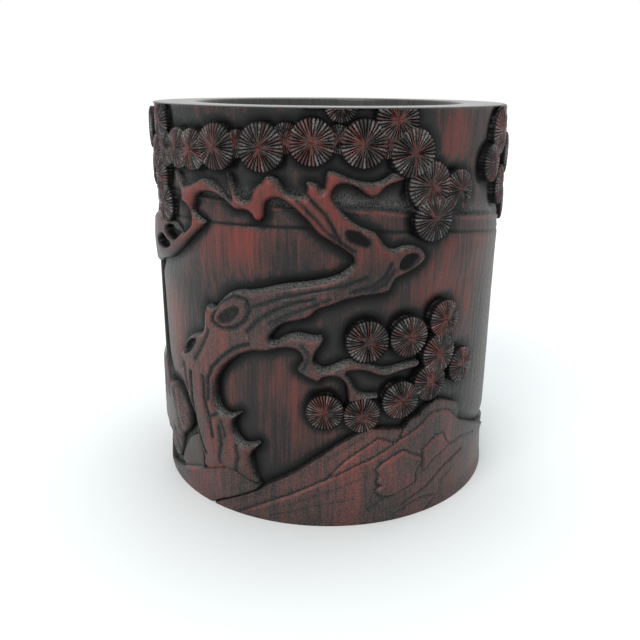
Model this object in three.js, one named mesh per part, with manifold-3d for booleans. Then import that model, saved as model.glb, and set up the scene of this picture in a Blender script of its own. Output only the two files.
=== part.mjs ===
// Bamboo brush pot with a carved pine over rocks: a section of culm whose wall carries the
// relief, and a base disc let into its foot. Millimetres, +Z up, the carved front faces -Y.
// Places on the wall are given unrolled: u runs round it in millimetres, z is the height.
import * as THREE from 'three';
import { mergeVertices } from 'three/addons/utils/BufferGeometryUtils.js';
import Module from 'manifold-3d';

const wasm = await Module();
wasm.setup();

// Culm wall
const HEIGHT = 141;
const RIM_R = 65; // outer radius at the rim, and the radius at which u is measured
const BORE_R = 49.4;
const RIM_EDGE = 0.8; // rounding of both rim corners
const NODE_Z = 104; // middle of the node ring
const NODE_TILT = 0.06; // the node ring falls to the right by this much per millimetre
const GROUND = [ // [radius, height] of the cut-back ground, from the foot up
  [62.4, 0], [62.9, 14], [63.4, 34], [63.4, 58], [63.7, 80], [64.6, 91],
  [65.1, 99], [64.4, 104], [64.8, 108.5], [64.1, 112], [64.5, 126],
];
const WALL_SEGMENTS = 48;

// Base disc in the rabbet of the foot
const FIT_GAP = 0.3;
const RABBET_R = 54;
const RABBET_DEPTH = 9;
const DISC_THICK = 7.5;
const DISC_RISE = 1.2; // underside of the disc above the table
const DISC_HOLLOW_R = 44;
const DISC_HOLLOW = 0.6;

// Relief
const RELIEF_FOOT_R = 60; // relief solids start inside the wall
const CREST_R = 67; // top of the needle wheels and of the trunk
const NEEDLES = 8;

// A point on the unrolled wall, put at radius r.
const onWall = (u, r, z) =>
  new THREE.Vector3(r * Math.sin(u / RIM_R), -r * Math.cos(u / RIM_R), z);

// three.js geometry to a closed solid, turned outward when it came out inside out.
function solid(geometry) {
  const bare = geometry.clone();
  bare.deleteAttribute('normal');
  bare.deleteAttribute('uv');
  const merged = mergeVertices(bare, 1e-4);
  const make = (tris) => new wasm.Manifold(new wasm.Mesh({
    numProp: 3,
    vertProperties: new Float32Array(merged.attributes.position.array),
    triVerts: new Uint32Array(tris),
  }));
  const body = make(merged.index.array);
  return body.volume() > 0 ? body : make([...merged.index.array].reverse());
}

// Solid through rings with the same number of points, closed by a fan at each end.
function loft(rings, apex) {
  const count = rings[0].length;
  const middle = (ring) =>
    ring.reduce((sum, p) => sum.add(p), new THREE.Vector3()).divideScalar(count);
  const points = [...rings.flat(), middle(rings[0]), apex ?? middle(rings.at(-1))];
  const last = (rings.length - 1) * count;
  const index = [];
  for (let j = 0; j < count; j++) {
    const k = (j + 1) % count;
    for (let row = 0; row < last; row += count) {
      index.push(row + j, row + k, row + count + k, row + j, row + count + k, row + count + j);
    }
    index.push(points.length - 2, k, j, points.length - 1, last + j, last + k);
  }
  const geometry = new THREE.BufferGeometry().setFromPoints(points);
  geometry.setIndex(index);
  return solid(geometry);
}

// Limb: a spline through [u, z, half width] stations with a rounded back.
const LIMB_SECTION = [[-1, 0], [-1, 0.5], [-0.66, 0.88], [0, 1], [0.66, 0.88], [1, 0.5], [1, 0]];
function limb(...stations) {
  const path = new THREE.CatmullRomCurve3(stations.map((s) => new THREE.Vector3(...s)));
  const steps = Math.max(3, Math.round(path.getLength() / 7));
  return loft(path.getSpacedPoints(steps).map(({ x: u, y: z, z: half }, i) => {
    const along = path.getTangentAt(i / steps);
    const across = new THREE.Vector2(-along.y, along.x).normalize().multiplyScalar(half);
    const crest = Math.min(CREST_R - 0.2, 64.8 + half * 0.4);
    return LIMB_SECTION.map(([side, rise]) => onWall(
      u + across.x * side,
      rise ? 63 + (crest - 63) * rise : RELIEF_FOOT_R,
      z + across.y * side,
    ));
  }));
}

// Needle wheel: a low fluted dome with a scalloped rim round a small hub.
function wheel([u, z, radius]) {
  const ring = (scale, r, flute) => Array.from({ length: NEEDLES * 2 }, (_, j) => {
    const ridge = j % 2 ? -1 : 1;
    const angle = (j / NEEDLES) * Math.PI + u;
    const reach = radius * scale * (1 + 0.05 * ridge);
    return onWall(u + reach * Math.sin(angle), r + flute * ridge, z + reach * Math.cos(angle));
  });
  return loft([ring(0.92, RELIEF_FOOT_R, 0), ring(0.95, 65.8, 0.25)], onWall(u, CREST_R, z));
}

// Rock slab: [u, low, high] sections lofted along the wall at radius r, edges chamfered.
const ROCK_CHAMFER = 0.8;
function slab(r, sections) {
  const side = r - ROCK_CHAMFER;
  return loft(sections.map(([u, low, high]) => [
    onWall(u, RELIEF_FOOT_R, low), onWall(u, side, low), onWall(u, r, low + ROCK_CHAMFER),
    onWall(u, r, high - ROCK_CHAMFER), onWall(u, side, high), onWall(u, RELIEF_FOOT_R, high),
  ]));
}

// Ground of the wall, revolved, with the node ring tilted.
function culm() {
  const outer = [...GROUND, [RIM_R - 0.1, 136], [RIM_R, HEIGHT - RIM_EDGE]];
  const profile = [
    ...outer, [RIM_R - RIM_EDGE, HEIGHT], [BORE_R + RIM_EDGE, HEIGHT],
    [BORE_R, HEIGHT - RIM_EDGE], [BORE_R, RABBET_DEPTH], [RABBET_R, RABBET_DEPTH],
    [RABBET_R, 0], GROUND[0],
  ].map(([r, z]) => new THREE.Vector2(r, z));
  const turned = new THREE.LatheGeometry(profile, WALL_SEGMENTS).rotateX(Math.PI / 2);
  const p = turned.attributes.position;
  for (let i = 0; i < p.count; i++) {
    const far = Math.abs(p.getZ(i) - NODE_Z);
    const outside = Math.hypot(p.getX(i), p.getY(i)) > BORE_R + 5;
    if (far < 15 && outside) p.setZ(i, p.getZ(i) - NODE_TILT * p.getX(i));
  }
  return solid(turned);
}

// The pine seen from the front, foot to tip, then its branches and twigs.
const PINE = [
  limb([-37, 10, 14], [-38, 20, 12], [-41, 29, 10.5], [-46, 37, 8.6], [-50.5, 45, 9.4],
    [-50, 53, 11], [-43, 61, 11.6], [-34, 69, 10.6], [-24.5, 75.5, 8], [-13, 80.5, 6.6],
    [-2, 84.5, 5.2], [8, 87.5, 5.2], [17, 91, 6]),
  limb([20, 91, 4], [26, 94, 5.6], [30, 95, 3]),
  limb([22, 90, 5.5], [15, 96.5, 6.8], [7, 102.5, 5.6], [-0.5, 108, 5.2], [-7, 112.5, 4]),
  limb([-4, 111, 3.4], [-6, 116, 2], [-5.4, 119, 1]),
  limb([-3, 112, 3], [0.6, 120, 2.2], [6, 119.6, 1.3], [12, 117.2, 2], [18, 119, 1.4],
    [24, 120.6, 0.9]),
  limb([-5, 112, 3.4], [-12, 114.6, 2], [-18.5, 117.6, 3.2], [-22, 112.4, 3.8],
    [-27, 111.3, 2.1], [-32, 111.4, 1.6], [-38, 115.5, 2.2], [-44, 116.3, 2.4],
    [-49, 112.5, 2.4], [-50, 107, 2.2]),
  limb([-47, 105, 2.4], [-52, 99.4, 2.4], [-58, 94.8, 2.4], [-66, 91, 2.6], [-78, 88, 3],
    [-92, 84, 4]),
  limb([-54, 98, 1.4], [-63, 99, 1.5], [-73, 99.5, 2.6], [-88, 96, 3.4]),
  limb([-31, 112, 1.2], [-31.5, 116, 1.1], [-33.5, 121, 0.6]),
  limb([-50, 113, 1.2], [-56, 115.5, 1], [-59.7, 120, 0.6]),
  limb([-25, 66.5, 3.6], [-14, 67.4, 2.6], [-6, 67, 3.3], [-5.6, 62.5, 2.2], [-5.4, 58.4, 2.6],
    [-0.5, 57.4, 1.8], [6, 59.4, 2], [14, 58.6, 1.6], [20, 56.8, 1.6], [26, 57.9, 1.4],
    [33, 58.3, 1]),
  limb([5.6, 57.5, 1.3], [7.6, 53, 1.4], [8.6, 49, 1.8], [12, 48.3, 1], [18, 48.4, 0.8]),
  limb([-42, 34, 4], [-36, 37, 1.8], [-31, 39.4, 0.8]),
  limb([-38, 25, 5], [-29, 27, 2.4], [-23.5, 29, 1]),
  limb([-40, 68, 4.5], [-43, 74, 2.4], [-43.8, 76.6, 1.2]),
];

// The second tree, rooted at the left edge of the front and leaning round to the back.
const FAR_PINE = [
  limb([-76, 8, 7], [-71, 20, 8.5], [-68.5, 29, 9.5], [-76, 38, 9], [-86, 50, 6.4],
    [-91, 68, 6], [-96, 86, 5.6], [-106, 100, 4.8], [-119, 110, 3.8], [-134, 117, 2.6],
    [-150, 120, 1.4]),
  limb([-95, 82, 3.6], [-108, 79, 2.6], [-122, 82, 2], [-137, 80, 1.2]),
];

// Needle wheels as [u, z, radius]: round the rim, down the right, over the lower branch,
// and the two clusters on the far side.
const WHEELS = [
  [-68.5, 135, 6.5], [-73.5, 124, 6.8], [-64, 126.4, 6], [-55.3, 127.3, 6.8],
  [-47, 127.3, 6.8], [-36.8, 128.7, 7.2], [-20.8, 129.2, 7.4], [-28.8, 130, 4],
  [-13, 132, 4.5], [-5, 131, 7], [2.8, 132, 4.5], [3.5, 141.5, 5], [10.6, 130.6, 7.2],
  [18, 131, 5], [20.8, 137, 7], [26.3, 127.8, 7.5], [33, 117.5, 8], [45.2, 115.6, 6.6],
  [35, 107.3, 7.4], [-70, 117, 6.5], [-67.5, 108, 7], [65, 122.5, 6.5], [72, 132.5, 8],
  [77, 114, 7],
  [13.3, 68.2, 7.2], [27.9, 68.6, 7], [42.5, 72.7, 6.6], [40.5, 60.8, 7.2], [52.8, 53.5, 6.6],
  [37.3, 50.8, 6.8], [25.6, 46.4, 6.8], [12, 42.3, 6.3], [0, 43.8, 6.2],
  [-88, 132, 7.4], [-102.1, 129, 7.4], [-117, 132, 7], [-131, 129, 7.4], [-146, 131, 7],
  [-161, 129, 7.4], [-96, 117, 6.6], [-141, 104, 6.8],
  [-112, 90, 6.8], [-124, 91, 7], [-133, 71, 6.6], [-143, 84, 7.2], [-121, 73, 6.4],
  [88, 124, 7.4], [102.1, 131, 7.4], [117, 128, 7], [131, 132, 7.2], [145, 128, 7.4],
  [160, 131, 7], [174, 128, 7.2], [189, 131, 7], [204.2, 129, 7.4], [219, 132, 7],
  [92, 106, 6.8], [152, 115, 6.8], [167, 113, 6.6],
];

// Rocks along the foot, from the left of the front to the right, then round the back.
const ROCKS = [
  slab(65.6, [[-84, -4, 0.8], [-75, -4, 2.7], [-65, -4, 6.3], [-55, -4, 10.3], [-45, -4, 14],
    [-36, -4, 17.7], [-30, -4, 15.4], [-23, -4, 13]]),
  slab(65.2, [[-25, -4, 12], [-15, -4, 17.7], [-5, -4, 24.9], [1, -4, 29], [10, -4, 34.9],
    [14, -4, 37.5], [18.7, -4, 36.5], [28, -4, 35.2], [36, -3, 31]]),
  slab(66, [[-22, -4, 6.2], [-15.6, -4, 9.8], [-6, -4, 14.8], [1.5, -4, 19.5], [6, -4, 24.6],
    [13.7, -4, 30], [18, -4, 32.9], [24, -4, 30.4], [31, -4, 29], [39, 4, 28]]),
  slab(65.8, [[25, 12, 31], [30.6, 8, 38.5], [35, 7, 39.6], [40.6, 8, 43.5], [47.5, 11, 41.3],
    [53.6, 12.6, 38], [55.6, 13.4, 31.2], [63.7, 15.2, 27.3], [78, 17.5, 21.5]]),
  slab(66.6, [[17.4, 16, 21], [19.5, 11, 23.8], [27.5, 12.4, 27], [32.5, 14.2, 24],
    [35, 20, 23]]),
  slab(66.4, [[35.6, 18, 25.4], [40.6, 20.8, 29.6], [44.1, 22.6, 29.4], [47.5, 23.6, 25.4]]),
  slab(65.4, [[74, 13, 23], [84, 4, 25], [95, -4, 31], [104, -4, 24], [118, -4, 17],
    [133, -4, 19], [146, -4, 28], [158, -4, 33], [168, -4, 25], [184, -4, 15], [202, -4, 9]]),
  slab(65.2, [[198, -4, 9], [214, -4, 14], [228, -4, 10], [244, -4, 5], [262, -4, 4],
    [280, -4, 9], [300, -4, 13], [326, -4, 6]]),
];

function meshOf(name, body, color, roughness) {
  const { vertProperties, triVerts } = body.getMesh();
  const geometry = new THREE.BufferGeometry();
  geometry.setAttribute('position', new THREE.BufferAttribute(vertProperties, 3));
  geometry.setIndex(new THREE.BufferAttribute(triVerts, 1));
  geometry.computeVertexNormals();
  const material = new THREE.MeshStandardMaterial({ color, roughness, metalness: 0 });
  const mesh = new THREE.Mesh(geometry, material);
  mesh.name = name;
  return mesh;
}

// Relief joined to the wall it is cut from, trimmed level with the rim and the foot.
const trim = new THREE.CylinderGeometry(RIM_R + 10, RIM_R + 10, HEIGHT, 24)
  .rotateX(Math.PI / 2).translate(0, 0, HEIGHT / 2);
const relief = [...PINE, ...FAR_PINE, ...WHEELS.map(wheel), ...ROCKS]
  .reduce((whole, piece) => whole.add(piece));
const wall = culm().add(relief).intersect(solid(trim));

const discTop = DISC_RISE + DISC_THICK;
const discR = RABBET_R - FIT_GAP;
const disc = new THREE.LatheGeometry([
  [0, DISC_RISE + DISC_HOLLOW], [DISC_HOLLOW_R, DISC_RISE + DISC_HOLLOW],
  [DISC_HOLLOW_R + 1, DISC_RISE], [discR, DISC_RISE], [discR, discTop], [0, discTop],
].map(([r, z]) => new THREE.Vector2(r, z)), WALL_SEGMENTS).rotateX(Math.PI / 2);

const pot = new THREE.Group();
pot.name = 'bamboo_brush_pot';
pot.add(meshOf('carved_culm_wall', wall, 0x2c1716, 0.45));
pot.add(meshOf('inset_base_disc', solid(disc), 0x35201a, 0.6));

export default pot;
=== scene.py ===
import math

import bmesh
import bpy
import numpy as np
from mathutils import Matrix, Vector


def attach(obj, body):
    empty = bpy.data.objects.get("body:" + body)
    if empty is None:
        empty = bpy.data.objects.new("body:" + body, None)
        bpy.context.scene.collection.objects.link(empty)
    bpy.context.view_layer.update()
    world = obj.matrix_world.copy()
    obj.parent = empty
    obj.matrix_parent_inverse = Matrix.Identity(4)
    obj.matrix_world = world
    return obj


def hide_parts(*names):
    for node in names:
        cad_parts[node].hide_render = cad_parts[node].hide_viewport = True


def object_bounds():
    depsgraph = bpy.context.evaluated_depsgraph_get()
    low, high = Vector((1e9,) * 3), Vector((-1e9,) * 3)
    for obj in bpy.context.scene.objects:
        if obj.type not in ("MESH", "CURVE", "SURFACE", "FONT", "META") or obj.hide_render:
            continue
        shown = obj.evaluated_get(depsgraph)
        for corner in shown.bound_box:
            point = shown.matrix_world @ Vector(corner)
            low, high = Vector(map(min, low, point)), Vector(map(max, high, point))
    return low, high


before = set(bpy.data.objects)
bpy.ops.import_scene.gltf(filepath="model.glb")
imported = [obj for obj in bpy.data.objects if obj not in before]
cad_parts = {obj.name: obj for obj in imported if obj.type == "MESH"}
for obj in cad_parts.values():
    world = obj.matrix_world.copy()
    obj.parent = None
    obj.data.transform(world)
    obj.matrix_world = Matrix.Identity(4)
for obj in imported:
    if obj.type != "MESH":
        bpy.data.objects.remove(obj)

cad_low, cad_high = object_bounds()

# Places on the wall are given unrolled, in millimetres: u runs round it, z is the height.
MM = 0.001
HEIGHT = cad_high[2] / MM
RIM_R = 65.0
BORE_R = 49.4
RABBET_R, RABBET_DEPTH = 54.0, 9.0
RIM_EDGE = 0.8
TURN = 2 * math.pi * RIM_R

FOOT_R = 62.5  # bottom of the cut beside the relief
CREST_R = 66.35  # top of the trunk's shoulders
INSIDE_R = 61.4  # relief pieces end here, inside the wall
ROCK_FOOT_R = 65.5  # the rocks meet the table at one radius

# Ground of the wall, from foot to rim: heights and radii.
GROUND_Z = [0, 14, 34, 48, 58, 71, 77, 84, 90, 94, 99, 103]
GROUND_R = [62.4, 62.9, 63.4, 63.5, 63.3, 63.5, 63.7, 63.9, 64.6, 65.0, 65.1, 65.1]
UPPER_Z = [104, 112, 126, 136, 141]
UPPER_R = [64.1, 64.1, 64.5, 64.9, 65.0]

# The node ring: its lower step and the ridge above it, which fall towards the right.
NODE_U = [-204, -102, -80, -45, -10, 15, 27, 45, 60, 75, 102, 204]
NODE_LOW = [101, 104.5, 105.2, 105.5, 106, 104.7, 104.2, 102.5, 100.8, 98.5, 97, 101]
NODE_HIGH = [105.5, 110, 111.5, 112, 110.8, 110, 108.5, 106.5, 104.8, 102.6, 101, 105.5]

# The pine, once round its outline: up the left of the trunk, out along the crown, back
# under the big limb, out along the lower branch and down the right of the trunk.
PINE = [
    (-51, 12.2), (-50.3, 16.5), (-49.7, 19.5), (-51, 22.5), (-52.3, 26), (-52.3, 29.5),
    (-54, 34), (-56.3, 38.2), (-58.5, 42), (-61, 46.5), (-61.8, 48.5), (-61, 54.5),
    (-58.7, 57.5), (-57.2, 60), (-55, 62.6), (-51.5, 64.6), (-48.3, 65), (-46, 67.2),
    (-45.4, 70.5), (-45, 74.8), (-43.6, 77), (-41.5, 75.8), (-40.5, 76), (-38.5, 78.3),
    (-36, 80.7), (-33.7, 82.5), (-30, 83.6), (-25.3, 84), (-20, 85.4), (-14, 87.2),
    (-7, 88.1), (1, 89.7), (4.7, 91.3), (7.2, 93.5), (7.9, 95), (7.2, 96.6), (3.7, 99),
    (-2, 102.4), (-4, 104), (-6.3, 107), (-8.7, 109.3), (-12.4, 112.2), (-14, 113.3),
    (-16.3, 113.9), (-18.7, 113.2), (-19.7, 111.5), (-19.7, 108.5), (-20.8, 106.8),
    (-22.3, 106.2), (-23.7, 107), (-24.9, 108.8), (-26.5, 109.5), (-30.3, 109.3),
    (-32.2, 110.6), (-34.2, 112.2), (-36.5, 113.3), (-39, 113.9), (-42.3, 114),
    (-44.8, 113.6), (-47, 112), (-49, 108.4), (-48, 106.8), (-45.7, 106), (-43, 104.7),
    (-43.3, 103.2), (-46.8, 100.7), (-50, 98.4), (-54.5, 95), (-60, 91.5), (-66, 88.5),
    (-72, 86.8), (-80, 85), (-92, 80), (-100, 90), (-92, 101), (-80, 104), (-72, 104),
    (-69, 102.3), (-65, 102.6), (-61, 102), (-58, 100.8), (-56, 98.7), (-53.3, 100.7),
    (-50.3, 102.7), (-49.5, 104.7), (-50.3, 107), (-51.3, 108.7), (-54.7, 109.7),
    (-59.3, 111.3), (-54.8, 111), (-54.7, 113), (-56, 114), (-58, 116.3), (-60, 119),
    (-59.7, 120.3), (-58, 119), (-56, 117.3), (-54.7, 115.3), (-53.3, 115.3), (-50.3, 116),
    (-48, 117), (-45.3, 118.3), (-43.3, 118.7), (-40.7, 118.2), (-38, 117), (-35.3, 115.3),
    (-33.3, 113.3), (-31.7, 112.3), (-32, 114.7), (-33, 117.7), (-34, 121), (-33, 121.5),
    (-32, 119), (-30.7, 116.7), (-29.3, 114.7), (-27.7, 113.3), (-26, 113), (-24.7, 113.7),
    (-24.3, 116.3), (-23, 117.7), (-21, 119), (-20, 120.5), (-18.8, 121.3), (-17, 120.8),
    (-15.3, 119.3), (-14, 117.3), (-12.3, 115.7), (-10.7, 115.3), (-7.3, 115), (-6.8, 117.5),
    (-7, 119.3), (-6, 119.6), (-3.3, 118.9), (-2.6, 117.8), (-1.6, 117), (-1.2, 119.5),
    (-0.8, 122), (0.3, 123.1), (2.7, 122.3), (6, 120.8), (9, 119.8), (12.5, 119.3),
    (15.3, 119.3), (18, 120.4), (20.7, 122.2), (23.5, 121.5), (25, 120), (22, 118.6),
    (19, 118.1), (17.5, 117), (16, 115.4), (14.3, 114.3), (12.6, 114.4), (11.3, 115.2),
    (9.3, 116.8), (7.3, 118.1), (5.3, 118.6), (3, 118.3), (1.7, 117), (1.3, 115),
    (1.9, 113.5), (3.2, 111.8), (5, 110), (7.3, 107.8), (10.3, 105.9), (13.3, 104.8),
    (15.5, 103.8), (17, 101.7), (19, 99.3), (20.7, 98.4), (22.7, 98.8), (24.7, 99.4),
    (27.3, 99.4), (30, 98.7), (32.3, 97.3), (33.4, 95.2), (32.2, 93), (29.5, 91.3),
    (26, 89.7), (23, 88.8), (21.7, 87.3), (20.9, 85.2), (19.3, 83.8), (14.7, 83.3),
    (10.3, 83), (6.3, 82.1), (3, 80.8), (-0.3, 79.8), (-2.3, 79.1), (-3.8, 78),
    (-4.8, 76.6), (-6.8, 75.4), (-9.5, 74.8), (-12.7, 74), (-15.2, 72.6), (-16.8, 70.6),
    (-18.5, 68.8), (-18, 67.6), (-15.8, 68.5), (-13.3, 70), (-10.3, 71), (-7.3, 70.8),
    (-4, 70), (-1.8, 70.4), (-0.6, 68.8), (-1.1, 67.2), (-2.7, 65.1), (-3.7, 63),
    (-3.7, 61), (-2.3, 59.6), (-0.5, 59), (1.5, 59.8), (4.3, 61), (6.5, 62), (9, 62),
    (12, 61.4), (15.5, 60.2), (17.8, 58.8), (20, 58.2), (23, 58.4), (27, 59.2), (31, 59.7),
    (33.5, 59.4), (32, 57), (29.8, 56.8), (25.3, 56.4), (22.4, 55.6), (20.1, 54.9),
    (17.2, 55.5), (14.3, 57), (11, 57.9), (8, 57.9), (6.8, 57.5), (7.5, 56), (8.7, 54),
    (9.8, 52), (11.2, 50.2), (13.3, 49.4), (18, 49.3), (18, 47.5), (12, 47.3), (8.5, 46.5),
    (6.8, 46.9), (6.6, 50.5), (6.2, 53), (4.8, 55), (2.5, 55.9), (0.8, 56), (-0.8, 55.5),
    (-2.3, 53.7), (-4.2, 54.4), (-7, 55.7), (-9.6, 57.3), (-9.9, 58.4), (-9.2, 59.6),
    (-8.2, 61.2), (-8.2, 62.8), (-9.3, 64.5), (-11.2, 65.3), (-14, 65.3), (-17, 64.3),
    (-19.3, 63.6), (-22, 63.2), (-24.5, 63.1), (-27, 62.1), (-30, 60.8), (-32.7, 58.8),
    (-35.3, 56.7), (-37.7, 54), (-39.6, 51.3), (-40.6, 48.8), (-41.2, 46), (-41.2, 43),
    (-40.4, 40.2), (-39, 38.4), (-36.7, 37.7), (-34.3, 38.3), (-32.3, 39.1), (-30.4, 39.8),
    (-31.5, 38), (-32.8, 36.5), (-33.5, 34.5), (-33.4, 32.3), (-32.7, 30.4), (-31, 28.8),
    (-28.8, 28.1), (-26.3, 28.8), (-24.3, 29.9), (-23, 29.3), (-23.8, 27.5), (-25.4, 25.8),
    (-26.5, 24), (-26.3, 21.3), (-25.7, 18.4), (-25, 15.6), (-23.6, 12.6), (-30, 12),
    (-36, 14), (-43, 10),
]
# The second tree at the left, rooted beside the first and leaning round to the back.
FAR_PINE = [
    (-84, 4), (-72, 5), (-69, 11), (-67, 15), (-65, 19), (-62, 21), (-59, 23.5), (-57, 26),
    (-56.5, 28.5), (-57.5, 31.5), (-60, 34), (-62.5, 36.5), (-66, 39.5), (-70, 40.5),
    (-75, 38.5), (-79, 43), (-83, 52), (-84, 64), (-85, 76), (-88, 88), (-94, 100),
    (-104, 110), (-118, 118), (-134, 123), (-149, 123), (-136, 118), (-122, 111),
    (-110, 101), (-104, 92), (-102, 86), (-112, 83.5), (-124, 85.5), (-138, 82),
    (-124, 80), (-112, 78), (-101, 79), (-100, 66), (-98, 48), (-96, 28), (-94, 8),
]
# Recesses cut into the pine: the hollow in its left edge, the gaps in the left branch,
# the hollow of the right knob and the oval knot of the trunk.
HOLLOWS = [
    ([(-57.4, 57.6), (-55, 60.6), (-51.6, 62.6), (-48.4, 63), (-50.5, 60), (-53, 57.2),
      (-56, 55.8)], 2.4),
    ([(-61, 49), (-59, 48.7), (-57.3, 50.5), (-57.6, 53), (-59.4, 54)], 1.2),
    ([(-67.5, 98.7), (-65.5, 100.8), (-62, 101), (-59.5, 99.8), (-56.8, 99.3),
      (-57.5, 97.3), (-60.5, 96), (-64.5, 97)], 3.2),
    ([(-77, 94), (-73, 96.5), (-69, 96.8), (-64.5, 95.2), (-62, 94.5), (-66, 92.2),
      (-72, 91.2), (-77, 92)], 2.8),
    ([(22.5, 92), (23, 95), (25.5, 97), (29, 97), (29.7, 95), (28, 93), (25, 91.3)], 1.1),
    ([(-38.5, 73), (-36, 76), (-31, 78.7), (-28.5, 78.3), (-29, 76), (-32, 72.5),
      (-37, 71)], 0.9),
    ([(4.6, 105.6), (9.3, 105.2), (12.4, 102.9), (13.8, 100.4), (12, 99), (8.7, 100.4),
      (5.7, 101.3)], 0.8),
]
# Grooves of the bark, as open lines with a depth.
GROOVES = [
    ([(-52.5, 50), (-52.8, 40), (-51.5, 32), (-49, 25), (-46.5, 20)], 0.8),
    ([(-46, 50), (-45.8, 42), (-43.5, 35), (-42, 28)], 0.7),
    ([(-44, 42), (-43.5, 50), (-41, 55), (-36, 60), (-31, 64), (-26, 66)], 0.7),
    ([(-56.5, 52), (-56, 46), (-55, 41)], 0.5),
    ([(-49, 56), (-45, 62), (-42, 68)], 0.5),
    ([(-40, 18), (-38, 26), (-39, 33)], 0.6),
    ([(-33, 17), (-31, 23), (-32, 27)], 0.5),
    ([(-26, 70.5), (-22, 75), (-16, 79), (-10, 81.5), (-4, 83)], 0.6),
    ([(-18, 74), (-12, 77.5), (-5, 80.5), (1, 83)], 0.5),
    ([(-24, 79), (-14, 83), (-4, 85.4), (6, 87.5), (12, 90)], 0.5),
    ([(8, 85.5), (14, 87), (18, 90), (20, 94)], 0.5),
    ([(14, 85.5), (18.5, 88), (21, 92)], 0.4),
    ([(-6, 115), (-1, 110), (2, 105), (4, 101)], 0.6),
    ([(-9, 113.6), (-4, 108.6), (0, 104), (8, 98.4)], 0.5),
    ([(-7.6, 66.8), (-6.2, 65), (-6, 62), (-7.4, 59)], 0.5),
    ([(-42.5, 36), (-40.5, 37)], 0.6),
    ([(-38, 35), (-36.5, 30)], 0.5),
    ([(-40, 71.5), (-40, 74), (-37, 78.5), (-31, 82), (-26.5, 81), (-25, 78), (-27, 74),
      (-31, 71), (-36, 70), (-40, 71.5)], 0.7),
]
# Rock slabs: an outline and the radius of its top, the lowest slab first.
ROCKS = [
    ([(28, -4), (36, 6), (48, 12), (60, 17), (76, 20.5), (84, 21), (96, 18), (108, 16),
      (118, 8), (112, -4)], 64.9),
    ([(-50, 10), (-49.8, 17.5), (-52, 25.5), (-56, 23.5), (-60, 20.5), (-65, 14), (-68, 8),
      (-60, 4)], 64.3),
    ([(-88, -4), (-84, 0.6), (-75, 2.7), (-65, 6.3), (-55, 10.3), (-45, 14), (-36.3, 17.7),
      (-30, 15.4), (-23, 13), (-24.9, 10.9), (-30, 8), (-35, 5.3), (-42, 1.5),
      (-50, -4)], 65.7),
    ([(-50, -4), (-42, 1.5), (-35, 5.3), (-30, 8), (-24.9, 10.9), (-19.9, 14.8),
      (-14.9, 17.7), (-9.8, 20.9), (-4.8, 24.9), (-0.2, 28.1), (4.9, 31.7), (10.3, 34.9),
      (14.1, 37.5), (18.7, 36.5), (27.9, 35.2), (36, 33), (36, -4)], 65.0),
    ([(25, 29), (27.9, 35), (30.6, 38.5), (34.5, 39.4), (36.8, 41.5), (40.6, 43.5),
      (44.1, 42.7), (52.5, 39.4), (53.5, 38.1), (54, 33), (57, 28), (40, 24)], 65.3),
    ([(0, 17), (1.5, 19.5), (6, 24.6), (10.2, 27.7), (13.7, 30), (17.9, 32.9),
      (20.2, 31.9), (26, 29.6), (20, 24), (8, 18)], 65.6),
    ([(-38, -4), (-30, 1.6), (-22, 6.2), (-15.6, 9.8), (-5.9, 14.8), (1.3, 18.8),
      (9.9, 23.3), (15.6, 25.4), (24.1, 30.2), (35.2, 35.6), (38.1, 37.9), (40.6, 38.7),
      (44.5, 38.3), (47.5, 37.3), (53.3, 32.3), (63.7, 27.3), (74, 22.6), (79, 21.4),
      (76, 18.8), (70, 17), (61.8, 15), (52.2, 13.1), (44.5, 10), (44.1, 5.8),
      (38.3, 1.2), (33, -4)], 65.9),
    ([(19.5, 23.8), (23.3, 25.6), (27.5, 27.3), (30.6, 25), (35.2, 22.9), (33.7, 20),
      (32.5, 17.7), (32.5, 14.2), (27.5, 12.3), (22.2, 10.4), (19.1, 11.2), (17.5, 13.1),
      (19.5, 15), (17.5, 16.5), (18.7, 19.2), (17.2, 21.2)], 66.8),
    ([(35.6, 25.4), (40.6, 29.6), (44.1, 29.6), (47.5, 24.2), (44.8, 22.7), (40.2, 20.8),
      (36, 17.3)], 66.5),
]
BACK_ROCKS = [
    ([(100, -4), (102, 9), (106, 16), (112, 23), (123, 31), (134, 25), (146, 28),
      (158, 33), (168, 25), (184, 15), (203, 9), (203, -4)], 65.4),
    ([(110, -4), (122, 6), (138, 11), (152, 19), (162, 21), (172, 14), (190, 5),
      (198, -4)], 66.2),
    ([(200, -4), (200, 9), (214, 14), (228, 10), (244, 5), (262, 4), (280, 9), (300, 13),
      (322, 7), (328, -4)], 65.2),
]
ROCK_LINES = [
    ([(14.5, 6.2), (18.7, 8.5), (22.2, 10.4)], 0.4),
    ([(27.5, 5.4), (32.9, 8.1), (37.9, 10.4), (42.9, 13.8), (47.2, 16.2), (52.2, 18.1),
      (56, 19.2)], 0.5),
    ([(44, 5.5), (35, 6.5), (26, 3)], 0.4),
    ([(-10, 9), (4, 15), (16, 20)], 0.25),
    ([(-18, 3), (-4, 8), (10, 11)], 0.25),
    ([(48, 24), (56, 24.5), (66, 22)], 0.4),
    ([(0, 25), (8, 30.5), (13, 34)], 0.25),
]
NEEDLES = 34  # in each needle wheel
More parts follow.
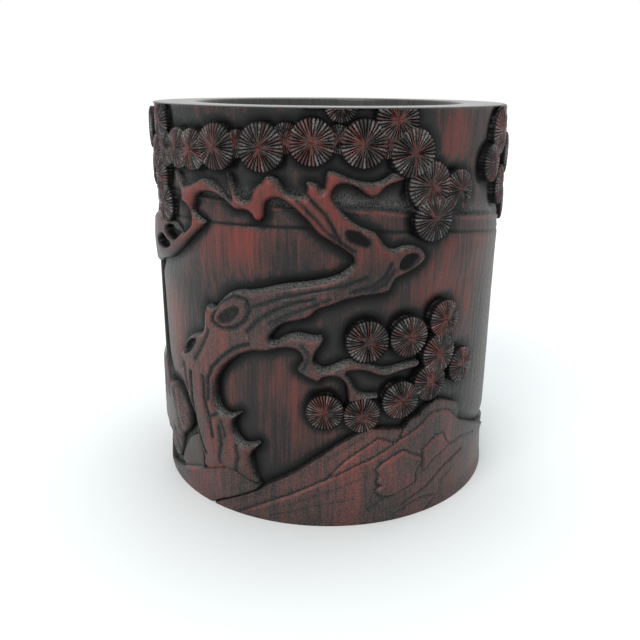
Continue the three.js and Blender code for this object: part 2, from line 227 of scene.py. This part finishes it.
# Needle wheels: [u, z, radius, lift]; a wheel with more lift lies over its neighbours.
FRONT_WHEELS = [
    (-68.5, 135, 6.5, 0.0), (-73.5, 124, 6.8, 0.1), (-64, 126.4, 6, 0.0),
    (-55.3, 127.3, 6.8, 0.0), (-47.5, 127.3, 6.8, 0.15), (-36.8, 128.7, 7.4, 0.35),
    (-20.8, 129.2, 7.6, 0.3), (-28.8, 130, 4.4, -0.3), (-13, 132, 4.8, -0.3),
    (-5, 131, 7.2, 0.3), (2.8, 132, 4.5, -0.3), (3.5, 141.5, 5, 0.1), (10.6, 130.6, 7.4, 0.3),
    (18, 131, 5, -0.3), (20.8, 137.5, 7, 0.1), (26.3, 127.8, 7.7, 0.4),
    (33, 117.5, 8.1, 0.2), (45.2, 115.6, 6.7, 0.1), (35, 107.3, 7.6, 0.35),
    (-70, 117, 6.5, 0.2), (-67.5, 108, 7, 0.1),
    (65, 122.5, 6.5, 0.2), (72, 132.5, 8, 0.1), (77, 114, 7, 0.0),
]
LOWER_WHEELS = [
    (13.3, 68.2, 7.3, 0.1), (27.9, 68.6, 7.1, 0.2), (42.5, 72.7, 6.7, 0.05),
    (40.5, 60.8, 7.3, 0.35), (52.8, 53.5, 6.8, 0.0), (37.3, 50.8, 6.9, 0.1),
    (25.6, 46.4, 6.9, 0.35), (12, 42.3, 6.4, 0.1), (-0.4, 43.8, 6.4, 0.3),
]
BACK_WHEELS = [
    (-88, 132, 7.4, 0.2), (-102, 129, 7.4, 0.35), (-117, 132, 7.2, 0.2),
    (-131, 129, 7.4, 0.35), (-146, 131, 7.2, 0.2), (-161, 129, 7.4, 0.35),
    (-96, 117, 6.8, 0.0), (-141, 104, 6.8, 0.1), (-112, 90, 6.8, 0.1), (-124, 91, 7, 0.3),
    (-133, 71, 6.6, 0.1), (-143, 84, 7.2, 0.2), (-121, 73, 6.4, 0.3), (88, 124, 7.4, 0.3),
    (102, 131, 7.4, 0.2), (117, 128, 7.2, 0.35), (131, 132, 7.2, 0.2),
    (145, 128, 7.4, 0.35), (160, 131, 7.2, 0.2), (174, 128, 7.2, 0.35), (189, 131, 7, 0.2),
    (204, 129, 7.4, 0.35), (-189, 132, 7, 0.2), (92, 106, 6.8, 0.1), (152, 115, 6.8, 0.1),
    (167, 113, 6.6, 0.3),
]
# Places where the red shows through the stain on the ground: [u, z, width, height].
RED_PATCHES = [(44, 131, 9, 12), (40, 82, 14, 20), (-32, 98, 16, 8), (-8, 46, 16, 14),
               (8, 92, 10, 6), (-70, 60, 8, 20), (56, 118, 8, 14)]


def smooth(t):
    """0 to 1 with soft ends, as t goes from 0 to 1."""
    t = np.clip(t, 0, 1)
    return t * t * (3 - 2 * t)


def rounded(points, rounds):
    """A closed outline with its corners cut, once for each round."""
    p = np.array(points, float)
    for _ in range(rounds):
        after = np.roll(p, -1, axis=0)
        p = np.stack([0.75 * p + 0.25 * after, 0.25 * p + 0.75 * after], 1).reshape(-1, 2)
    return p


def line_distance(u, z, points, closed=False):
    """Distance of each point to a line, and whether it is inside a closed one."""
    p = np.array(points, float)
    ends = np.roll(p, -1, axis=0) if closed else p[1:]
    near = np.full(u.shape, 1e6)
    inside = np.zeros(u.shape, bool)
    for (ua, za), (ub, zb) in zip(p, ends):
        du, dz = ub - ua, zb - za
        t = np.clip(((u - ua) * du + (z - za) * dz) / (du * du + dz * dz), 0, 1)
        near = np.minimum(near, (u - ua - t * du) ** 2 + (z - za - t * dz) ** 2)
        if closed and dz:
            crosses = (za > z) != (zb > z)
            inside ^= crosses & (u < ua + (z - za) * du / dz)
    return np.sqrt(near), inside


def depth_inside(u, z, points):
    """How far each point is inside a closed outline; outside it is negative."""
    near, inside = line_distance(u, z, points, closed=True)
    return np.where(inside, near, -near)


def wrapped(u):
    """u brought to within half a turn of the front."""
    return (u + TURN / 2) % TURN - TURN / 2


def node_ring(u, z):
    """Ground radius with the node ring in it."""
    u = wrapped(u)
    low = np.interp(u, NODE_U, NODE_LOW)
    high = np.interp(u, NODE_U, NODE_HIGH)
    lower = np.interp(z, GROUND_Z, GROUND_R)
    lower = lower + 0.9 * np.clip(64.9 - lower, 0, 3) * smooth((np.abs(u) - 50) / 36)
    upper = np.interp(z, UPPER_Z, UPPER_R)
    t = (z - low) / (high - low)
    upper = upper + 0.8 * smooth(1 - (z - high) / 8)
    r = lower + (upper - lower) * smooth(t / 0.85)
    r += 0.45 * np.exp(-((t - 1) / 0.09) ** 2) - 0.3 * np.exp(-((t - 1.2) / 0.09) ** 2)
    r -= 0.3 * np.exp(-((z - low + 0.8) / 0.5) ** 2)
    return r


PINE_EDGE = rounded(PINE, 2)
FAR_EDGE = rounded(FAR_PINE, 2)


def cut_ground(u, z):
    """Radius of the ground, sunk beside the relief, and how near the relief is."""
    flat = wrapped(u)
    near = np.maximum(-depth_inside(flat, z, rounded(PINE, 1)), 0)
    near = np.minimum(near, np.maximum(-depth_inside(flat, z, rounded(FAR_PINE, 1)), 0))
    for outline, _ in ROCKS + BACK_ROCKS:
        for turn in (0, TURN):
            d = -depth_inside(flat + turn, z, outline)
            near = np.minimum(near, np.maximum(d, 0))
    for wu, wz, radius, _ in FRONT_WHEELS + LOWER_WHEELS + BACK_WHEELS:
        d = np.hypot(wrapped(u - wu), z - wz) - radius
        near = np.minimum(near, np.maximum(d, 0))
    r = node_ring(u, z)
    sunk = np.exp(-(near / 3.2) ** 2)
    return r - sunk * np.clip(r - FOOT_R - 0.25, 0, 1.5) * 0.8, near


def stands_on(u, r, z):
    """Unrolled places, in millimetres, to points of the object, in metres."""
    angle = u / RIM_R
    return np.stack([r * np.sin(angle), -r * np.cos(angle), z], -1) * MM


def shade(bm, worn, recess_stain_and_shade, painted_sheen):
    """Values on the points that the finish reads: how far the stain is worn to red, how far
    stain and painted shade darken them in recesses, and how far painted sheen lightens them."""
    for key, values in (("worn", worn), ("recess_stain_and_shade", recess_stain_and_shade), ("painted_sheen", painted_sheen)):
        layer = bm.verts.layers.float.new(key)
        for vert, value in zip(bm.verts, values):
            vert[layer] = value


def finish_piece(name, bm, material):
    """A bmesh becomes a piece of the object that stands for the CAD wall."""
    mesh = bpy.data.meshes.new(name)
    bm.to_mesh(mesh)
    bm.free()
    mesh.materials.append(material)
    mesh.polygons.foreach_set("use_smooth", [True] * len(mesh.polygons))
    mesh.set_sharp_from_angle(angle=math.radians(50))
    piece = bpy.data.objects.new(name, mesh)
    bpy.context.collection.objects.link(piece)
    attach(piece, "root")
    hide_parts("carved_culm_wall")
    return piece


def places(bm):
    """The bmesh's points as an array."""
    bm.verts.ensure_lookup_table()
    return np.array([v.co[:] for v in bm.verts])


def move_to(bm, points):
    for vert, point in zip(bm.verts, points):
        vert.co = point


def relief_piece(name, outline_depth, shape, span, cell, material):
    """A patch of relief: a grid over span, kept where outline_depth is above the skirt,
    lifted by shape, and closed behind inside the wall."""
    (u0, u1), (z0, z1) = span
    skirt = 0.7
    bm = bmesh.new()
    bmesh.ops.create_grid(bm, x_segments=round((u1 - u0) / cell),
                          y_segments=round((z1 - z0) / cell), size=0.5)
    flat = places(bm)
    u = u0 + (flat[:, 0] + 0.5) * (u1 - u0)
    z = z0 + (flat[:, 1] + 0.5) * (z1 - z0)
    keep = outline_depth(u, z) > -skirt
    bmesh.ops.delete(bm, geom=[v for v, k in zip(bm.verts, keep) if not k], context="VERTS")
    bmesh.ops.delete(bm, geom=[v for v in bm.verts if not v.link_faces], context="VERTS")
    flat = places(bm)
    u = u0 + (flat[:, 0] + 0.5) * (u1 - u0)
    z = z0 + (flat[:, 1] + 0.5) * (z1 - z0)
    r, worn, recess_stain_and_shade, painted_sheen = shape(u, z)
    move_to(bm, stands_on(u, r, z))
    shade(bm, worn, recess_stain_and_shade, painted_sheen)
    back = bmesh.ops.extrude_face_region(bm, geom=bm.faces[:])["geom"]
    for vert in [v for v in back if isinstance(v, bmesh.types.BMVert)]:
        vert.co.xy *= INSIDE_R * MM / vert.co.xy.length
    bmesh.ops.recalc_face_normals(bm, faces=bm.faces[:])
    return finish_piece(name, bm, material)


def pine_shape(u, z, edge):
    """Radius of a carved limb by how far inside its outline a point is."""
    d = depth_inside(u, z, edge)
    t = np.clip(d / 2.6, 0, 1)
    shoulder = np.sqrt(1 - (1 - t) ** 2)
    crest = CREST_R + 0.5 * smooth(d / 9) - FOOT_R - 1.6 * smooth((22 - z) / 7)
    r = np.where(d > 0, FOOT_R + crest * shoulder, FOOT_R + 2.5 * d)
    ripple = 0.05 * np.cos(2 * np.pi * d / 1.3) * smooth((d - 1) / 1.5)
    return r + ripple, d


def pine(u, z):
    r, d = pine_shape(u, z, PINE_EDGE)
    cut = np.zeros(u.shape)
    for outline, deep in HOLLOWS:
        h = depth_inside(u, z, rounded(outline, 2))
        cut = np.maximum(cut, deep * smooth((h + 0.5) / 1.5))
    for line, deep in GROOVES:
        near, _ = line_distance(u, z, line)
        cut = np.maximum(cut, deep * np.exp(-(near / 0.75) ** 2))
    # Painted highlight: the edges that face up are made pale, with painted glints over the
    # lower trunk.
    above = depth_inside(u, z + 0.6, rounded(PINE, 1))
    upward = np.clip((d - above) / 0.6, 0, 1) * np.exp(-((d - 0.5) / 0.6) ** 2)
    worn = 0.44 + 0.2 * np.exp(-((d - 1.6) / 1.0) ** 2) + 0.16 * smooth((z - 88) / 20)
    painted_sheen = 0.75 * upward + 0.1 * smooth(d / 2) * smooth((95 - z) / 20)
    # Painted shade, with some stain: darker in the grooves and hollows and along the foot of
    # the outline.
    recess_stain_and_shade = np.clip(cut / 0.8, 0, 1) + np.exp(-np.maximum(d, 0) / 0.9)
    return np.maximum(r - cut, FOOT_R - 1), worn, np.clip(recess_stain_and_shade, 0, 1), painted_sheen


def far_pine(u, z):
    r, d = pine_shape(u, z, FAR_EDGE)
    burl = np.exp(-((u + 71) / 8) ** 2 - ((z - 27) / 11) ** 2)
    fold = 0.5 * np.cos((u + 0.35 * z) * 1.1) * smooth(d / 4) * np.exp(-((u + 70) / 14) ** 2)
    behind = smooth((z - 42) / 6) * smooth((92 - z) / 8) * smooth((-u - 76) / 6)
    r = np.minimum(r + 1.2 * burl * smooth(d / 3) + fold - 0.4, 66.9 - 1.5 * behind)
    worn = 0.36 + 0.3 * np.exp(-((d - 1.8) / 1.2) ** 2)
    # Painted shade, with some stain, along the foot of the outline, and painted glints over
    # the limbs.
    return r, worn, np.exp(-np.maximum(d, 0) / 0.9), 0.25 * smooth(d / 2)


def rocks_shape(slabs, lines):
    """Shape of stepped slabs: each has a flat top with a narrow bevel."""
    def shape(u, z):
        r = np.full(u.shape, FOOT_R - 1.2)
        edge = np.full(u.shape, 9.0)
        crease = np.full(u.shape, 9.0)
        for outline, top in slabs:
            d = depth_inside(u, z, outline)
            level = top + 0.15 * np.sin(0.22 * u + 0.31 * z + top * 9)
            level = ROCK_FOOT_R + (np.minimum(level, 66.9) - ROCK_FOOT_R) * smooth(z / 6)
            lifted = level - 1.3 + 1.3 * smooth(np.clip(d / 0.6, -1, 1))
            crease = np.where((d < 0) & (lifted + 1.3 > r), np.minimum(crease, -d), crease)
            crease = np.where(d > 0.3, 9.0, crease)
            edge = np.where(d > 0, np.abs(d - 0.5), edge)
            r = np.where(d > -0.6, np.maximum(r, lifted), r)
        cut = np.zeros(u.shape)
        for line, deep in lines:
            near, _ = line_distance(u, z, line)
            cut = np.maximum(cut, deep * np.clip(1 - near / 0.8, 0, 1))
        outside = slab_depth(slabs)(u, z)
        r = np.where(outside < 0, FOOT_R + 2.5 * outside, r)
        worn = 0.4 + 0.3 * np.exp(-(edge / 0.6) ** 2)
        # Painted shade, with some stain: darker in the cut lines, at the foot of the slabs
        # and in the crease just below each higher slab; painted glints all over.
        recess_stain_and_shade = np.clip(cut, 0, 0.8) + np.exp(-np.maximum(outside, 0) / 0.6)
        recess_stain_and_shade += 0.9 * np.exp(-(crease / 0.7) ** 2)
        return r - cut, worn, np.clip(recess_stain_and_shade, 0, 1), np.full(u.shape, 0.12)
    return shape


def slab_depth(slabs):
    """How far inside any of the slabs a point is."""
    def depth(u, z):
        return np.max([depth_inside(u, z, outline) for outline, _ in slabs], axis=0)
    return depth


def wheel_template():
    """A needle wheel of radius 1 as a closed lens: x and y across it, z is 0 to 1 up."""
    top = [(0, 1), (0.05, 1), (0.08, 0.95), (0.13, 0.92), (0.22, 0.95), (0.34, 0.95),
           (0.46, 0.92), (0.58, 0.88), (0.7, 0.82), (0.8, 0.74), (0.88, 0.64), (0.94, 0.5),
           (0.985, 0.3), (1.0, 0.0), (0.96, -1.0), (0, -1.0)]
    bm = bmesh.new()
    chain = [bm.verts.new((reach, 0, level)) for reach, level in top]
    edges = [bm.edges.new(pair) for pair in zip(chain, chain[1:])]
    bmesh.ops.spin(bm, geom=chain + edges, cent=(0, 0, 0), axis=(0, 0, 1),
                   angle=2 * math.pi, steps=NEEDLES * 4, use_merge=True)
    bmesh.ops.remove_doubles(bm, verts=bm.verts[:], dist=1e-5)
    bmesh.ops.recalc_face_normals(bm, faces=bm.faces[:])
    mesh = bpy.data.meshes.new("needle_wheel")
    bm.to_mesh(mesh)
    bm.free()
    return mesh


def wheel_cluster(name, wheels, template, material):
    """Needle wheels wrapped on the wall, trimmed level with the rim."""
    bm = bmesh.new()
    local = np.array([v.co[:] for v in template.vertices])
    across = np.hypot(local[:, 0], local[:, 1])
    angle = np.arctan2(local[:, 0], local[:, 1])
    groove = 1 - np.abs(np.sin(angle * NEEDLES / 2))
    on_top = local[:, 2] > 0.01
    needle = np.floor(angle * NEEDLES / (2 * np.pi)).astype(int) % NEEDLES
    line = np.round(angle * NEEDLES / (2 * np.pi)).astype(int) % NEEDLES
    draw = np.random.default_rng(11)
    points, worn, recess_stain_and_shade, painted_sheen = [], [], [], []
    for u, z, radius, lift in wheels:
        bm.from_mesh(template)
        turn = u * 1.7
        starts = draw.uniform(0.06, 0.45, NEEDLES)[line]
        flute = groove * np.where(on_top, smooth((across - starts) / 0.12), 0)
        reach = across * radius * (1 - 0.06 * flute * smooth((across - 0.8) / 0.2))
        sunk = 0.55 * flute + 0.12 * draw.random(NEEDLES)[needle] * (1 - groove)
        level = np.where(local[:, 2] >= 0, 65.2 + lift + 1.25 * local[:, 2] - sunk * on_top,
                         INSIDE_R)
        points.append(stands_on(u + reach * np.sin(angle + turn), level,
                                z + reach * np.cos(angle + turn)))
        sector = 0.5 + 0.5 * np.sin(angle * 2 + u) * np.sin(angle * 3 + z)
        red = draw.random(NEEDLES)[needle] * (0.35 + 0.65 * sector)
        ridge = (1 - groove) * (across < 0.97)
        worn.append(0.16 + 1.0 * red * ridge + 0.4 * (across < 0.12))
        # Painted shade, with some stain, in the needle grooves and round the wheel's edge.
        recess_stain_and_shade.append(np.clip(0.95 * flute + (across > 0.975), 0, 1))
        # Painted highlight: pale glints on the needle crests.
        painted_sheen.append(draw.random(NEEDLES)[needle] ** 2 * ridge * smooth((across - 0.3) / 0.4))
    move_to(bm, np.concatenate(points))
    shade(bm, np.concatenate(worn), np.concatenate(recess_stain_and_shade), np.concatenate(painted_sheen))
    geom = bm.verts[:] + bm.edges[:] + bm.faces[:]
    cut = bmesh.ops.bisect_plane(bm, geom=geom, dist=1e-7, clear_outer=True,
                                 plane_co=(0, 0, (HEIGHT - 0.4) * MM), plane_no=(0, 0, 1))
    rim = [e for e in cut["geom_cut"] if isinstance(e, bmesh.types.BMEdge)]
    if rim:
        bmesh.ops.holes_fill(bm, edges=rim)
    return finish_piece(name, bm, material)


def culm_wall(material, inside_material):
    """The culm: its section spun round, with the outside moved to the cut ground."""
    rows = list(np.arange(0, 95, 1.0)) + list(np.arange(95, 114, 0.5))
    rows += list(np.arange(114, HEIGHT - RIM_EDGE, 1.1)) + [HEIGHT - RIM_EDGE]
    inner = [(RIM_R - 0.25, HEIGHT - 0.25), (RIM_R - RIM_EDGE, HEIGHT), (61.5, HEIGHT),
             (56, HEIGHT), (BORE_R + RIM_EDGE, HEIGHT), (BORE_R + 0.25, HEIGHT - 0.25),
             (BORE_R, HEIGHT - RIM_EDGE)]
    inner += [(BORE_R, z) for z in np.linspace(HEIGHT - 8, RABBET_DEPTH, 12)]
    inner += [(RABBET_R, RABBET_DEPTH), (RABBET_R, 0.3), (RABBET_R + 0.3, 0)]
    section = [(GROUND_R[0] - 0.3, 0.0)] + [(RIM_R, max(z, 0.3)) for z in rows] + inner
    bm = bmesh.new()
    chain = [bm.verts.new((0, -r * MM, z * MM)) for r, z in section]
    edges = [bm.edges.new(pair) for pair in zip(chain, chain[1:] + chain[:1])]
    bmesh.ops.spin(bm, geom=chain + edges, cent=(0, 0, 0), axis=(0, 0, 1),
                   angle=2 * math.pi, steps=440, use_merge=True)
    bmesh.ops.recalc_face_normals(bm, faces=bm.faces[:])
    at = places(bm) / MM
    r = np.hypot(at[:, 0], at[:, 1])
    u = np.arctan2(at[:, 0], -at[:, 1]) * RIM_R
    z = at[:, 2]
    outside = (r > RIM_R - 0.05) & (z > 0.2)
    ground, near = cut_ground(u, z)
    ground += 0.05 * np.sin(u * 1.9 + 2 * np.sin(z * 0.13)) * np.sin(z * 0.21 + u * 0.4)
    r = np.where(outside, ground, r)
    move_to(bm, stands_on(u, r, z))
    worn = np.full(u.shape, 0.2)
    for pu, pz, wide, tall in RED_PATCHES:
        worn += 0.42 * np.exp(-(wrapped(u - pu) / wide) ** 2 - ((z - pz) / tall) ** 2)
    high = np.interp(wrapped(u), NODE_U, NODE_HIGH)
    low = np.interp(wrapped(u), NODE_U, NODE_LOW)
    worn -= 0.2 * np.exp(-((z - high - 6) / 5) ** 2)
    worn += 0.5 * np.exp(-((z - high) / 0.5) ** 2) + 0.15 * np.exp(-((z - low + 3) / 2) ** 2)
    # Painted shade, with some stain: darker on the ground beside the relief, in the crease
    # above the ridge and under the step.
    recess_stain_and_shade = np.exp(-(near / 2.2) ** 2) + 0.9 * np.exp(-((z - high - 1.6) / 0.8) ** 2)
    recess_stain_and_shade += 0.8 * np.exp(-((z - low + 0.6) / 0.5) ** 2)
    worn = np.where(outside, worn, 0.0)
    recess_stain_and_shade = np.where(outside, np.clip(recess_stain_and_shade, 0, 1), 0.0)
    # Painted sheen: a pale band on the upward slope above the ridge, and a pale grazing sheen
    # towards the sides.
    side = smooth((np.abs(wrapped(u)) - 50) / 30)
    painted_sheen = np.where(outside, 0.25 * np.exp(-((z - high - 3.2) / 2.4) ** 2) + 0.2 * side, 0.0)
    shade(bm, worn, recess_stain_and_shade, painted_sheen)
    for face in bm.faces:
        middle = face.calc_center_median() / MM
        on_rim = middle.z > HEIGHT - 0.5 and middle.xy.length < RIM_R - RIM_EDGE + 0.1
        in_bore = middle.z > 1 and middle.xy.length < 60
        face.material_index = int(on_rim or in_bore)
    wall = finish_piece("culm_wall", bm, material)
    wall.data.materials.append(inside_material)
    return wall


class Nodes:
    """Small helper that adds and links material nodes."""

    def __init__(self, material):
        material.use_nodes = True
        self.tree = material.node_tree
        self.shader = self.tree.nodes["Principled BSDF"]

    def add(self, kind, inputs=None, **settings):
        node = self.tree.nodes.new(kind)
        for key, value in settings.items():
            setattr(node, key, value)
        for key, value in (inputs or {}).items():
            if isinstance(value, bpy.types.NodeSocket):
                self.tree.links.new(value, node.inputs[key])
            else:
                node.inputs[key].default_value = value
        return node

    def math(self, operation, a, b, clamp=False):
        node = self.add("ShaderNodeMath", {0: a, 1: b}, operation=operation)
        node.use_clamp = clamp
        return node.outputs[0]

    def noise(self, stretch, scale, detail):
        """Noise on the object's own coordinates, drawn out up the wall."""
        place = self.add("ShaderNodeTexCoord").outputs["Object"]
        mapped = self.add("ShaderNodeMapping", {"Vector": place, "Scale": stretch})
        noise = self.add("ShaderNodeTexNoise", {
            "Vector": mapped.outputs[0], "Scale": scale, "Detail": detail})
        return noise.outputs["Fac"]

    def ramp(self, value, stops):
        node = self.add("ShaderNodeValToRGB", {"Fac": value})
        elements = node.color_ramp.elements
        elements[0].position, elements[0].color = stops[0][0], (*stops[0][1], 1)
        elements[1].position, elements[1].color = stops[-1][0], (*stops[-1][1], 1)
        for position, color in stops[1:-1]:
            elements.new(position).color = (*color, 1)
        return node.outputs["Color"]

    def attribute(self, name):
        return self.add("ShaderNodeAttribute", attribute_name=name).outputs["Fac"]


STAIN = (0.0055, 0.005, 0.0052)
WINE = (0.058, 0.0225, 0.019)
BRICK = (0.19, 0.033, 0.025)
# Pale grey of the painted sheen and glints.
SHEEN_GREY = (0.29, 0.30, 0.285)


def stained_bamboo(name, fibre_bump):
    """Near-black stain over red, worn off the high places, with fibres up the wall, painted
    shade in the recesses and pale painted sheen.
    """
    material = bpy.data.materials.new(name)
    n = Nodes(material)
    fibre = n.noise((1, 1, 0.035), 1500, 4)
    streak = n.noise((1, 1, 0.09), 420, 3)
    patch = n.noise((1, 1, 0.5), 60, 3)
    grain = n.noise((1, 1, 0.6), 2600, 3)
    red = n.attribute("worn")
    for texture, share in ((fibre, 1.1), (streak, 1.0), (patch, 1.3), (grain, 0.8)):
        off = n.math("SUBTRACT", texture, 0.5)
        red = n.math("ADD", red, n.math("MULTIPLY", off, share))
    # Painted shade, with some stain: the recess value darkens the colour.
    darkened_in_recesses = n.math("MULTIPLY", n.attribute("recess_stain_and_shade"), 0.95)
    red = n.math("SUBTRACT", red, darkened_in_recesses, clamp=True)
    color = n.ramp(red, [(0.05, STAIN), (0.42, WINE), (0.95, BRICK)])
    # Painted sheen: pale grey glints mixed in by the sheen value.
    speck = n.math("MULTIPLY", n.math("SUBTRACT", grain, 0.4), 5.0, clamp=True)
    speck = n.math("MULTIPLY", n.attribute("painted_sheen"), speck)
    mixed = n.add("ShaderNodeMix", {"Factor": speck}, data_type="RGBA")
    n.tree.links.new(color, mixed.inputs[6])
    mixed.inputs[7].default_value = (*SHEEN_GREY, 1)
    n.tree.links.new(mixed.outputs[2], n.shader.inputs["Base Color"])
    rough = n.math("MULTIPLY_ADD", streak, 0.2)
    rough.node.inputs[2].default_value = 0.28
    n.tree.links.new(rough, n.shader.inputs["Roughness"])
    rough_skin = n.math("ADD", fibre, grain)
    bump = n.add("ShaderNodeBump", {
        "Height": rough_skin, "Strength": fibre_bump, "Distance": 0.0005})
    n.tree.links.new(bump.outputs[0], n.shader.inputs["Normal"])
    # Specular lowered where the painted shade lies.
    shine = n.math("MULTIPLY_ADD", n.attribute("recess_stain_and_shade"), -0.3)
    shine.node.inputs[2].default_value = 0.36
    n.tree.links.new(shine, n.shader.inputs["Specular IOR Level"])
    n.shader.inputs["Coat Weight"].default_value = 0.12
    n.shader.inputs["Coat Roughness"].default_value = 0.2
    return material


def sawn_inside(name):
    """The sawn rim and the bore: a grey-brown lighter than the stain, with fibres, polished
    by use.
    """
    material = bpy.data.materials.new(name)
    n = Nodes(material)
    fibre = n.noise((1, 1, 0.03), 1300, 4)
    color = n.ramp(fibre, [(0.3, (0.014, 0.013, 0.012)), (0.75, (0.06, 0.055, 0.05))])
    n.tree.links.new(color, n.shader.inputs["Base Color"])
    bump = n.add("ShaderNodeBump", {"Height": fibre, "Strength": 0.15, "Distance": 0.0003})
    n.tree.links.new(bump.outputs[0], n.shader.inputs["Normal"])
    n.shader.inputs["Roughness"].default_value = 0.24
    return material


def disc_wood(name):
    """Plain dark wood with rings, for the disc in the foot."""
    material = bpy.data.materials.new(name)
    n = Nodes(material)
    grain = n.noise((1, 0.08, 1), 420, 5)
    color = n.ramp(grain, [(0.3, (0.018, 0.010, 0.008)), (0.7, (0.06, 0.026, 0.018))])
    n.tree.links.new(color, n.shader.inputs["Base Color"])
    bump = n.add("ShaderNodeBump", {"Height": grain, "Strength": 0.2, "Distance": 0.0003})
    n.tree.links.new(bump.outputs[0], n.shader.inputs["Normal"])
    n.shader.inputs["Roughness"].default_value = 0.55
    return material


wall_finish = stained_bamboo("stained_bamboo_wall", 0.5)
relief_finish = stained_bamboo("stained_bamboo_relief", 0.35)

culm_wall(wall_finish, sawn_inside("sawn_inside"))
relief_piece("pine", lambda u, z: depth_inside(u, z, PINE_EDGE), pine,
             ((-101, 35), (9, 124)), 0.36, relief_finish)
relief_piece("far_pine", lambda u, z: depth_inside(u, z, FAR_EDGE), far_pine,
             ((-150, -55), (3, 125)), 0.5, relief_finish)
relief_piece("rocks", slab_depth(ROCKS), rocks_shape(ROCKS, ROCK_LINES),
             ((-84, 112), (0, 45)), 0.42, relief_finish)
relief_piece("back_rocks", slab_depth(BACK_ROCKS), rocks_shape(BACK_ROCKS, []),
             ((98, 327), (0, 34)), 0.8, relief_finish)
template = wheel_template()
wheel_cluster("needle_wheels_crown", FRONT_WHEELS, template, relief_finish)
wheel_cluster("needle_wheels_low", LOWER_WHEELS, template, relief_finish)
wheel_cluster("needle_wheels_back", BACK_WHEELS, template, relief_finish)

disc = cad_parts["inset_base_disc"]
disc.data.materials.clear()
disc.data.materials.append(disc_wood("disc_wood"))

# Camera, fitted to the rim, the foot and the sides of the pot in the photograph.
CAMERA_AT = (0, -0.285, 0.14855)
PITCH, HEADING, ROLL = 0.3187, 0.01, 0.0076
FOCAL_IN_FRAMES = 727.3 / 640


def photo_camera():
    """The camera of the photograph."""
    camera_data = bpy.data.cameras.new("camera")
    camera_data.sensor_width = 36
    camera_data.lens = 36 * FOCAL_IN_FRAMES
    camera = bpy.data.objects.new("camera", camera_data)
    bpy.context.collection.objects.link(camera)
    camera.matrix_world = (Matrix.Translation(CAMERA_AT) @ Matrix.Rotation(HEADING, 4, "Z")
                           @ Matrix.Rotation(math.pi / 2 - PITCH, 4, "X")
                           @ Matrix.Rotation(ROLL, 4, "Z"))
    bpy.context.scene.camera = camera


def soft_lamp(name, at, aim, size, power, color=(1, 1, 1)):
    data = bpy.data.lights.new(name, "AREA")
    data.size = size
    data.energy = power
    data.color = color
    lamp = bpy.data.objects.new(name, data)
    bpy.context.collection.objects.link(lamp)
    lamp.matrix_world = Matrix.Translation(at)
    away = np.array(at) - np.array(aim)
    lamp.rotation_mode = "QUATERNION"
    lamp.rotation_quaternion = Vector(away).to_track_quat("Z", "Y")
    return lamp


def white_floor():
    """A plain pale floor that the camera sees turn white away from the object."""
    floor_bm = bmesh.new()
    bmesh.ops.create_grid(floor_bm, x_segments=1, y_segments=1, size=3)
    floor_mesh = bpy.data.meshes.new("floor")
    floor_bm.to_mesh(floor_mesh)
    floor_bm.free()
    floor = bpy.data.objects.new("floor", floor_mesh)
    bpy.context.collection.objects.link(floor)
    floor_finish = bpy.data.materials.new("floor_white")
    floor_nodes = Nodes(floor_finish)
    floor_nodes.shader.inputs["Base Color"].default_value = (0.88, 0.9, 0.9, 1)
    floor_nodes.shader.inputs["Roughness"].default_value = 0.9
    floor_nodes.shader.inputs["Specular IOR Level"].default_value = 0.1
    floor_nodes.shader.inputs["Emission Color"].default_value = (1, 1, 1, 1)
    camera_ray = floor_nodes.add("ShaderNodeLightPath").outputs["Is Camera Ray"]
    spot = floor_nodes.add("ShaderNodeTexCoord").outputs["Object"]
    distance = floor_nodes.add("ShaderNodeVectorMath", {0: spot}, operation="LENGTH")
    far_off = floor_nodes.add("ShaderNodeMapRange", {
        "Value": distance.outputs["Value"], "From Min": 0.05, "From Max": 0.8,
        "To Min": 0.08, "To Max": 0.7})
    glow = floor_nodes.math("MULTIPLY", camera_ray, far_off.outputs[0])
    floor_nodes.tree.links.new(glow, floor_nodes.shader.inputs["Emission Strength"])
    floor_mesh.materials.append(floor_finish)


def studio_world():
    """Even light from all round, seen as white."""
    world = bpy.data.worlds.new("studio")
    bpy.context.scene.world = world
    world.use_nodes = True
    sky = world.node_tree
    path = sky.nodes.new("ShaderNodeLightPath")
    seen = sky.nodes.new("ShaderNodeMath")
    seen.operation = "MAXIMUM"
    sky.links.new(path.outputs["Is Camera Ray"], seen.inputs[0])
    mirrored = sky.nodes.new("ShaderNodeMath")
    mirrored.operation = "MAXIMUM"
    sky.links.new(path.outputs["Is Glossy Ray"], mirrored.inputs[0])
    sky.links.new(path.outputs["Is Transmission Ray"], mirrored.inputs[1])
    sky.links.new(mirrored.outputs[0], seen.inputs[1])
    level = sky.nodes.new("ShaderNodeMapRange")
    sky.links.new(seen.outputs[0], level.inputs["Value"])
    level.inputs["To Min"].default_value = 0.45
    level.inputs["To Max"].default_value = 1.0
    sky.links.new(level.outputs[0], sky.nodes["Background"].inputs["Strength"])
    sky.nodes["Background"].inputs["Color"].default_value = (1, 1, 1, 1)


photo_camera()
soft_lamp("key", (-0.55, -0.95, 1.15), (0, 0, 0.07), 0.7, 8.5)
soft_lamp("top", (0.1, 0.25, 1.6), (0, 0, 0.07), 1.0, 13.0, (0.9, 0.99, 1.0))
white_floor()
studio_world()

view = bpy.context.scene.view_settings
view.view_transform = "Standard"
